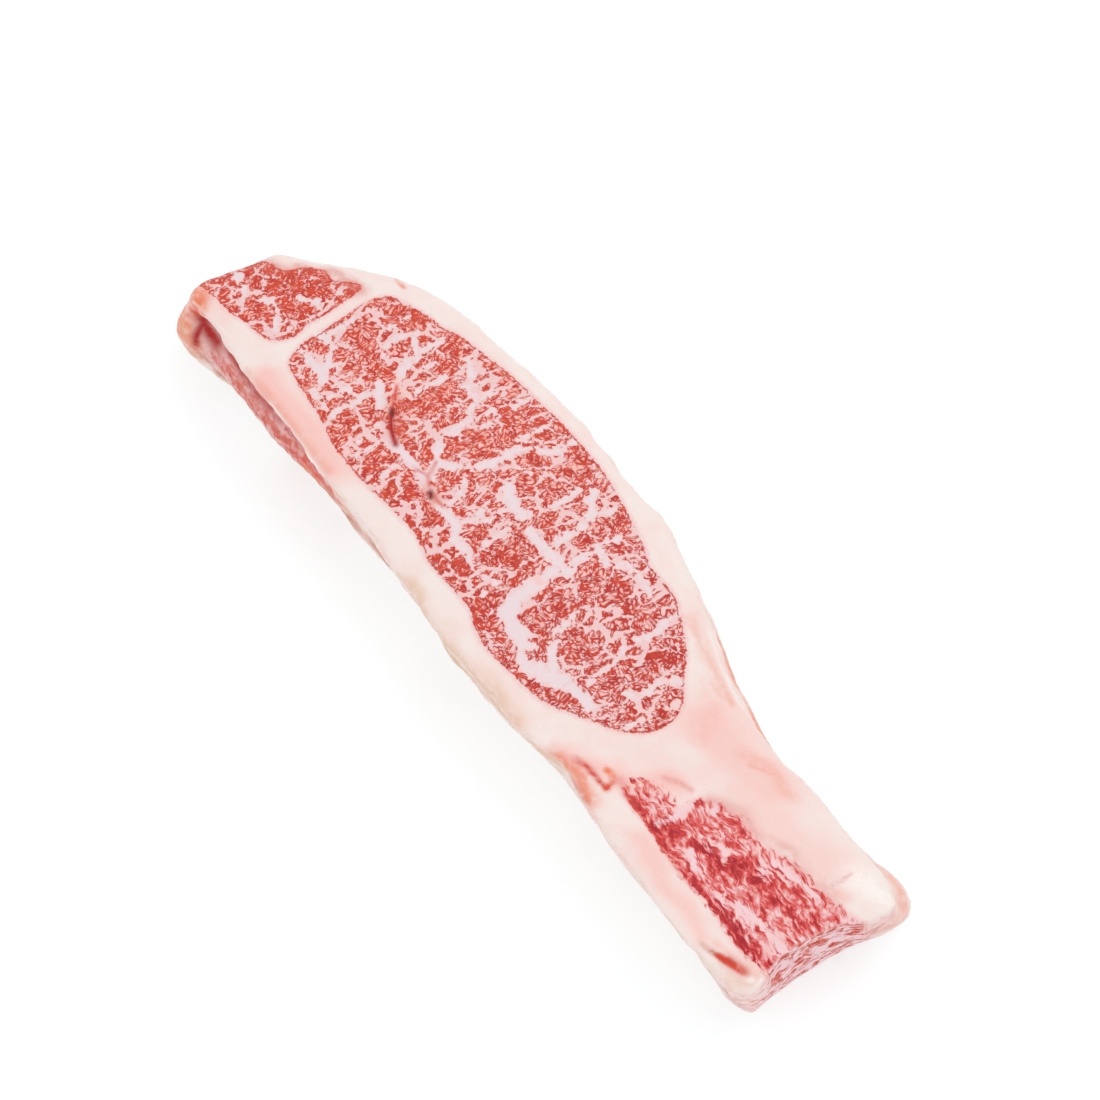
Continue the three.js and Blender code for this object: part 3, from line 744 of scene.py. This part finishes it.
# White lines between the lobes, strands of lean round pale drops inside them, thin red lines at the rims
def bundledLean(tree, at, edges, lobeEdge, dropEdge):
    often, low, high = meat["leanPlaces"]
    richness = cloud(tree, at["bent"], often, 2.0, 0.55)["Fac"]
    solid = times(tree, readAttribute(tree, "solid"), 0.15)
    lobeGap = calc(tree, "SUBTRACT", lobeEdge, fade(tree, richness, low, high, *meat["lobeGap"]))
    lobeGap = plus(tree, lobeGap, solid)
    strand = calc(tree, "SUBTRACT", fade(tree, richness, low, high, *meat["strand"]), dropEdge)
    edges["strand"] = plus(tree, strand, solid)
    soft = meat["soft"]
    within = fade(tree, lowest(tree, edges["inside"], lobeGap), -soft, soft)
    fromInside = calc(tree, "ABSOLUTE", calc(tree, "SUBTRACT", edges["inside"], 0.18))
    rim = fade(tree, fromInside, 0.08, 0.24, 0.8, 0.0)
    lean = times(tree, calc(tree, "MAXIMUM", fade(tree, edges["strand"], -soft, soft), rim), within)
    fromRim = calc(tree, "ABSOLUTE", calc(tree, "SUBTRACT", edges["muscle"], 0.3))
    rimLine = times(tree, fade(tree, fromRim, 0.1, 0.3, 1.0, 0.0),
                    fade(tree, cloud(tree, at["fibre"], 0.3)["Fac"], 0.38, 0.54, 0.0, 0.9))
    return calc(tree, "MAXIMUM", lean, rimLine)


# The tail's lean: soft flames along the slice, fraying out into the fat on its far side
def flamedLean(tree, at):
    flames = cloud(tree, stretched(tree, at["curled"], meat["flame"]), 1.0, 3.5, 0.62)["Fac"]
    flames = plus(tree, flames, times(tree, readAttribute(tree, "solid"), 0.14))
    frayed = times(tree, calc(tree, "SUBTRACT", flames, 0.5), 7.0)
    edge = lowest(tree, readAttribute(tree, "muscleEdge"), readAttribute(tree, "seamEdge"))
    inMuscle = fade(tree, plus(tree, edge, frayed), -0.6, 1.0)
    return flames, times(tree, fade(tree, flames, *meat["flameShare"]), inMuscle)


# Brighter to the head, deeper to the tail
def colourOfLean(tree, at, flames, tailLean):
    depth = fade(tree, cloud(tree, at["fibre"], 0.35, 2.0)["Fac"], 0.38, 0.64)
    depth = plus(tree, times(tree, depth, 0.6), fade(tree, at["x"], -60, 60, 0.0, 0.3))
    bundles = blendColour(tree, depth, tint("leanBright"), tint("leanDeep"))
    full = meat["flameShare"][1]
    flameDepth = times(tree, fade(tree, flames, full - 0.06, full + 0.12), fade(tree, tailLean, 0.5, 1.0))
    flameColour = blendColour(tree, flameDepth, tint("leanTail"), tint("flameDeep"))
    return blendColour(tree, at["inTail"], bundles, flameColour)


# Cool in the veins, warm outside, flushed near the lean, with pinker drops inside the bundles
def colourOfFat(tree, at, edges):
    mottle = fade(tree, cloud(tree, at["even"], 0.09, 3.0, 0.6)["Fac"], 0.35, 0.7)
    outer = blendColour(tree, times(tree, mottle, 0.3), tint("outerFat"), tint("flush"))
    veins = blendColour(tree, fade(tree, edges["seam"], -1.2, 0.2), tint("islandFat"), tint("veinFat"))
    veins = blendColour(tree, at["inTail"], veins, tint("tailFat"))
    fat = blendColour(tree, fade(tree, edges["muscle"], -1.5, 0.5), outer, veins)
    flushNear = fade(tree, lowest(tree, edges["muscle"], edges["seam"]), -1.5, 0.1, 0.0, 0.4)
    fat = blendColour(tree, flushNear, fat, tint("flush"))
    dropShare = times(tree, fade(tree, edges["inside"], -0.3, 0.9),
                      fade(tree, edges["strand"], -0.36, 0.0, 0.25, 0.9),
                      fade(tree, at["inTail"], 0.0, 1.0, 1.0, 0.4))
    dropColour = blendColour(tree, fade(tree, at["x"], -60, 50), tint("dropWarm"), tint("dropFat"))
    return blendColour(tree, dropShare, fat, dropColour)


def painted(tree, colour, paints, evenness):
    for paint in paints:
        share = times(tree, readAttribute(tree, paint), evenness)
        colour = blendColour(tree, share, colour, tint(paint))
    return colour


# The sides cut across the slice's layers: faint ones in the fat, and strings where there is lean
def colourOfSides(tree, at, colour, strings):
    onSide = at["onSide"]
    layerPlace = pushed(tree, at["layers"], cloud(tree, at["even"], 0.2)["Color"], 3.0)
    layer = cloud(tree, layerPlace, 0.3, 3.0)["Fac"]
    pink = times(tree, onSide, fade(tree, layer, 0.48, 0.66, 0.0, 0.55))
    colour = blendColour(tree, pink, colour, tint("flush"))
    tan = times(tree, onSide, fade(tree, layer, 0.34, 0.5, 0.5, 0.0))
    colour = blendColour(tree, tan, colour, tint("tan"))
    stringColour = blendColour(tree, fade(tree, strings, 0.44, 0.6), tint("tailFat"), tint("haze"))
    stringColour = blendColour(tree, fade(tree, strings, 0.57, 0.7), stringColour, tint("leanDeep"))
    inMuscle = times(tree, onSide, fade(tree, readAttribute(tree, "muscleEdge"), -1.0, 1.0))
    stringy = calc(tree, "MAXIMUM", times(tree, readAttribute(tree, "stringy"), onSide), inMuscle)
    return blendColour(tree, stringy, colour, stringColour)


def makeMarbledBeef():
    material = bpy.data.materials.new("marbledBeef")
    material.use_nodes = True
    tree = material.node_tree
    surface = tree.nodes["Principled BSDF"]
    at = placesInMeat(tree)

    bundleEdge, lobeEdge, dropEdge = cellEdges(tree, at["curled"])
    edges = leanEdges(tree, at, bundleEdge, lobeEdge)
    lean = bundledLean(tree, at, edges, lobeEdge, dropEdge)
    flames, tailLean = flamedLean(tree, at)
    lean = fade(tree, at["inTail"], 0.0, 1.0, lean, tailLean, "LINEAR")

    blotchy = fade(tree, cloud(tree, at["even"], 0.4, 3.0, 0.6)["Fac"], 0.34, 0.56, 0.55, 1.1)
    fat = painted(tree, colourOfFat(tree, at, edges), ["flush"], 1.0)
    # tan, orange, and a pale cream that also paints highlights
    fat = painted(tree, fat, ["tan", "orange", "cream"], blotchy)
    colour = blendColour(tree, lean, fat, colourOfLean(tree, at, flames, tailLean))
    stringPlace = pushed(tree, at["layers"], cloud(tree, at["even"], 0.35)["Color"], 2.2)
    strings = cloud(tree, stringPlace, 0.75, 2.0)["Fac"]
    colour = colourOfSides(tree, at, colour, strings)
    # painted shade, red haze and rust
    colour = painted(tree, colour, ["dusk", "haze", "rust"], blotchy)
    colour = painted(tree, colour, ["blood", "pit"], 1.0)
    tree.links.new(colour, surface.inputs["Base Color"])

    # moist gloss, patchy, wettest on the pale ridges with painted highlights
    wet = fade(tree, cloud(tree, at["even"], 0.4, 2.0)["Fac"], 0.45, 0.7, 0.5, 0.3)
    wet = calc(tree, "SUBTRACT", wet, times(tree, readAttribute(tree, "cream"), 0.16))
    tree.links.new(wet, surface.inputs["Roughness"])
    surface.inputs["Specular IOR Level"].default_value = meat["shine"]
    for name, value in meat["glow"].items():
        surface.inputs["Subsurface " + name].default_value = value

    # a soft grain, and layers along the sides
    grain = cloud(tree, at["even"], 1.2, 3.0, 0.6)["Fac"]
    height = plus(tree, grain, times(tree, strings, at["onSide"]))
    strength, depth = meat["bump"]
    bump = addNode(tree, "ShaderNodeBump", {"Height": height, "Strength": strength, "Distance": depth})
    tree.links.new(bump.outputs["Normal"], surface.inputs["Normal"])
    return material


def makeSteak():
    mesh = finerWhereSeen(copyOfSteak())
    paintAndSculpt(mesh)
    mesh.name = "marbledSteak"
    mesh.materials.clear()
    mesh.materials.append(makeMarbledBeef())
    mesh.polygons.foreach_set("use_smooth", [True] * len(mesh.polygons))
    steak = bpy.data.objects.new("marbledSteak", mesh)
    bpy.context.collection.objects.link(steak)
    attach(steak, "root")
    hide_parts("steak")
    triangles = sum(len(p.vertices) - 2 for p in mesh.polygons)
    print("steak ready,", len(mesh.vertices), "points,", triangles, "triangles")
    return steak


makeSteak()
